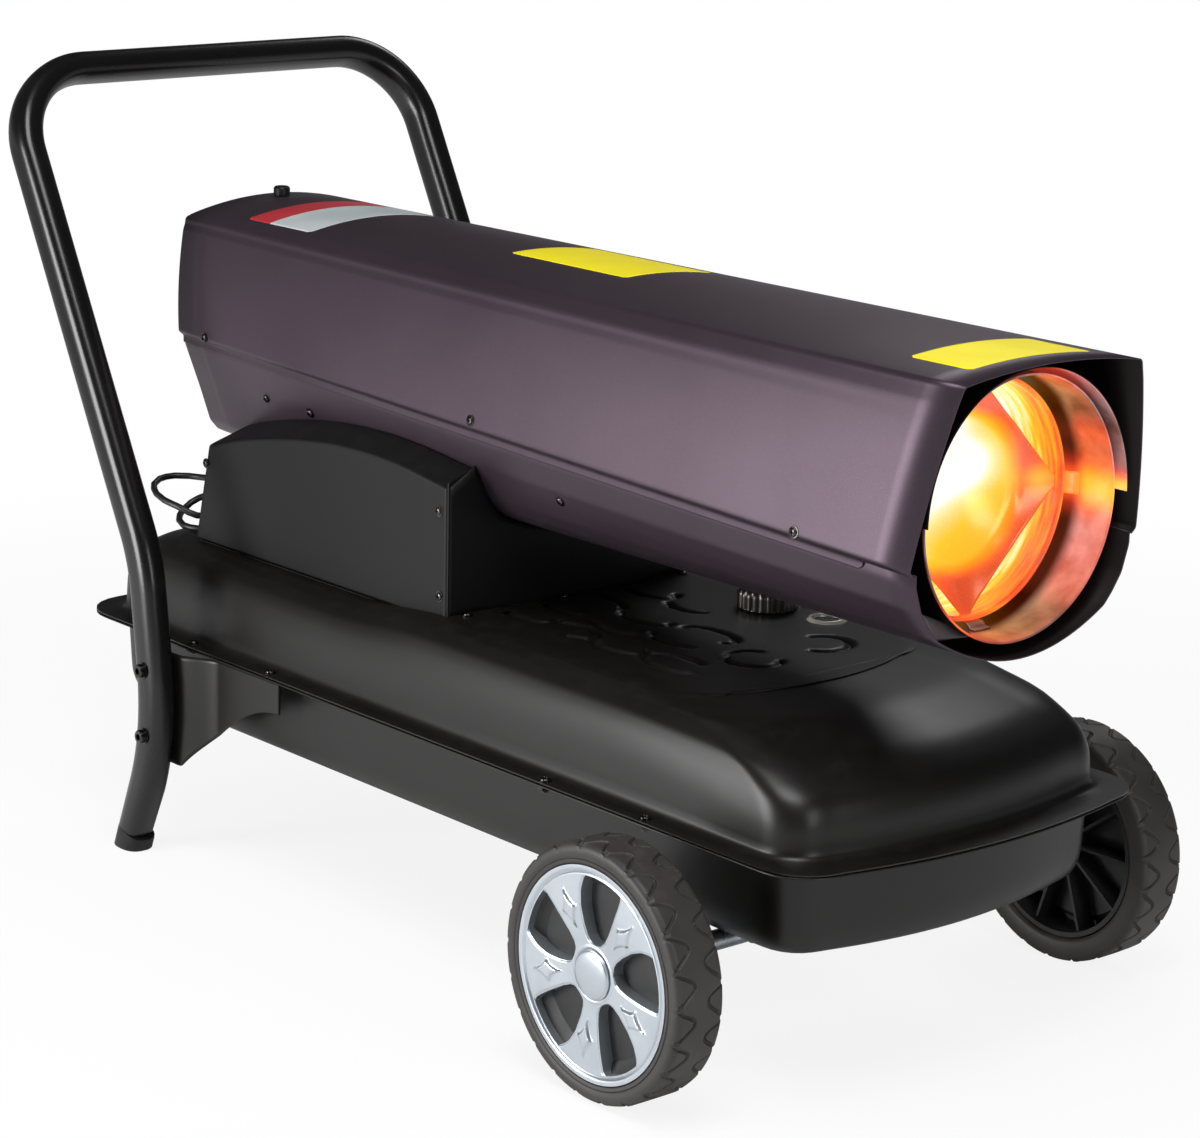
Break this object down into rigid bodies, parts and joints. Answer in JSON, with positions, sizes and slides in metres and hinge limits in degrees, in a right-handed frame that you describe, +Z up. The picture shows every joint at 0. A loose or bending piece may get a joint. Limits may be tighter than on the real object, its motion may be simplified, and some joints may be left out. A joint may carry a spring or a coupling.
{
  "type": "forced air heater",
  "caption": "Portable oil-fired forced air heater: long faceted barrel over a flanged fuel tank, on two wheels and a bent tube handle, with a burner behind a flame deflector.",
  "frame": {"origin": "on the ground under the middle of the object, cord left out", "axes": "+Z up, +X towards the hot air outlet, -Y the side with the plain housing cover"},
  "size_m": [1.0871, 0.5576, 0.6883],
  "materials": {
    "tank_black": "semi-gloss black paint",
    "barrel_metallic": "fine metallic powder coat, aubergine",
    "housing_charcoal": "matte charcoal powder coat",
    "handle_black": "gloss black paint",
    "zinc": "bright zinc plate",
    "chrome": "polished",
    "hot_steel": "bare steel, heat tinted",
    "brass": "satin",
    "silver_plastic": "silver paint on moulded plastic",
    "black_plastic": "moulded",
    "rubber": "matte",
    "tyre": "moulded tread",
    "lens": "clear",
    "board": "circuit board",
    "ceramic": "glazed ceramic",
    "cast_aluminium": "as cast"
  },
  "bodies": {
    "chassis": {"tank_lower": "tank_black", "tank_upper": "tank_black", "drain_plug": "zinc", "filler_neck": "zinc", "filler_strainer": "brass", "gauge_bezel": "chrome", "gauge_lens": "lens", "axle_rod": "zinc", "axle_bracket": "tank_black", "handle_frame": "handle_black", "foot_cap_near": "black_plastic", "foot_cap_far": "black_plastic", "leg_bracket_near": "tank_black", "leg_bracket_far": "tank_black", "leg_bolt_low_near": "zinc", "leg_bolt_high_near": "zinc", "leg_bolt_low_far": "zinc", "leg_bolt_high_far": "zinc", "shell_upper": "barrel_metallic", "shell_lower": "barrel_metallic", "top_knob": "black_plastic", "rear_guard": "housing_charcoal", "outlet_liner": "hot_steel", "heat_shield": "hot_steel", "combustion_chamber": "hot_steel", "flame_deflector": "hot_steel", "burner_head": "brass", "spark_igniter": "ceramic", "photocell": "black_plastic", "motor": "housing_charcoal", "motor_bracket": "zinc", "air_pump_cover": "cast_aluminium", "fuel_hose": "rubber", "air_hose": "rubber", "base_housing": "housing_charcoal", "side_cover_near": "housing_charcoal", "side_cover_far": "housing_charcoal", "thermostat_body": "black_plastic", "switch_bezel": "black_plastic", "control_board": "board", "ignition_transformer": "housing_charcoal", "cord_gland": "black_plastic", "cord_lead": "rubber", "cord_hank": "rubber", "cord_tie": "black_plastic", "plug": "black_plastic"},
    "wheel_near": {"tyre_near": "tyre", "wheel_core_near": "black_plastic", "wheel_trim_near": "silver_plastic", "hub_cap_near": "silver_plastic"},
    "wheel_far": {"tyre_far": "tyre", "wheel_core_far": "black_plastic", "wheel_trim_far": "silver_plastic", "hub_cap_far": "silver_plastic"},
    "fan_rotor": {"fan": "cast_aluminium"},
    "thermostat_dial": {"thermostat_knob": "black_plastic"},
    "power_switch": {"rocker_switch": "black_plastic"},
    "filler_cap": {"fuel_cap": "chrome"},
    "fuel_float": {"float_arm": "brass"},
    "gauge_pointer": {"gauge_needle": "black_plastic"}
  },
  "joints": [
    {"name": "wheel_near_roll", "type": "hinge", "parent": "chassis", "child": "wheel_near", "pos_m": [0.3625, -0.251, 0.1], "axis": [0, 1, 0], "continuous": true},
    {"name": "wheel_far_roll", "type": "hinge", "parent": "chassis", "child": "wheel_far", "pos_m": [0.3625, 0.251, 0.1], "axis": [0, 1, 0], "continuous": true},
    {"name": "fan_spin", "type": "hinge", "parent": "chassis", "child": "fan_rotor", "pos_m": [-0.1375, 0, 0.446], "axis": [1, 0, 0], "continuous": true},
    {"name": "thermostat_turn", "type": "hinge", "parent": "chassis", "child": "thermostat_dial", "pos_m": [-0.1075, 0.132, 0.33], "axis": [0, 1, 0], "range_deg": [0, 270]},
    {"name": "switch_rock", "type": "hinge", "parent": "chassis", "child": "power_switch", "pos_m": [-0.2225, 0.125, 0.325], "axis": [1, 0, 0], "range_deg": [-24, 0]},
    {"name": "cap_lift", "type": "slide", "parent": "chassis", "child": "filler_cap", "axis": [0, 0, 1], "range_m": [0, 0.04]},
    {"name": "float_swing", "type": "hinge", "parent": "chassis", "child": "fuel_float", "pos_m": [0.1995, 0.116, 0.233], "axis": [0, 1, 0], "range_deg": [-50, 0]},
    {"name": "needle_turn", "type": "hinge", "parent": "chassis", "child": "gauge_pointer", "pos_m": [0.1995, 0.116, 0.266], "axis": [0, 0, 1], "range_deg": [0, 90]}
  ],
  "couplings": [
    {"joint": "needle_turn", "follows": "float_swing", "ratio": -1.8}
  ]
}
